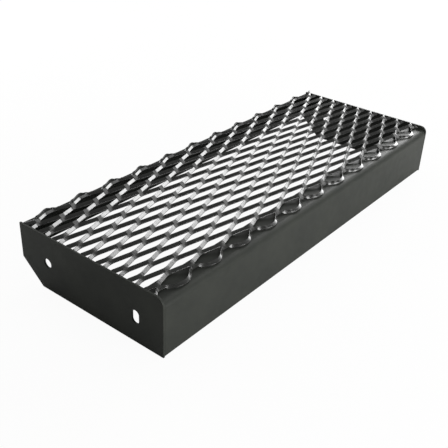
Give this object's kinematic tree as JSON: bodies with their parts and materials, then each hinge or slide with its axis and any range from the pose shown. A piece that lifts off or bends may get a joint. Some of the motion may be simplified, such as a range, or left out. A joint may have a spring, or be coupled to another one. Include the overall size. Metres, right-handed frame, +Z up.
{
  "type": "metal stair tread",
  "caption": "Welded steel stair tread, painted black: raised expanded mesh walking surface in a frame of folded front apron, rear angle and bolt-on end plates.",
  "frame": {"origin": "middle of the tread in plan, on the level of the end plates' bottom edges", "axes": "+X along the tread, +Y from the front apron to the back, +Z up"},
  "size_m": [0.7, 0.26, 0.092],
  "materials": {
    "black_paint": "semi-gloss"
  },
  "bodies": {
    "root": {"end_plate_left": "black_paint", "end_plate_right": "black_paint", "front_apron": "black_paint", "rear_angle": "black_paint", "expanded_mesh": "black_paint"}
  },
  "joints": []
}
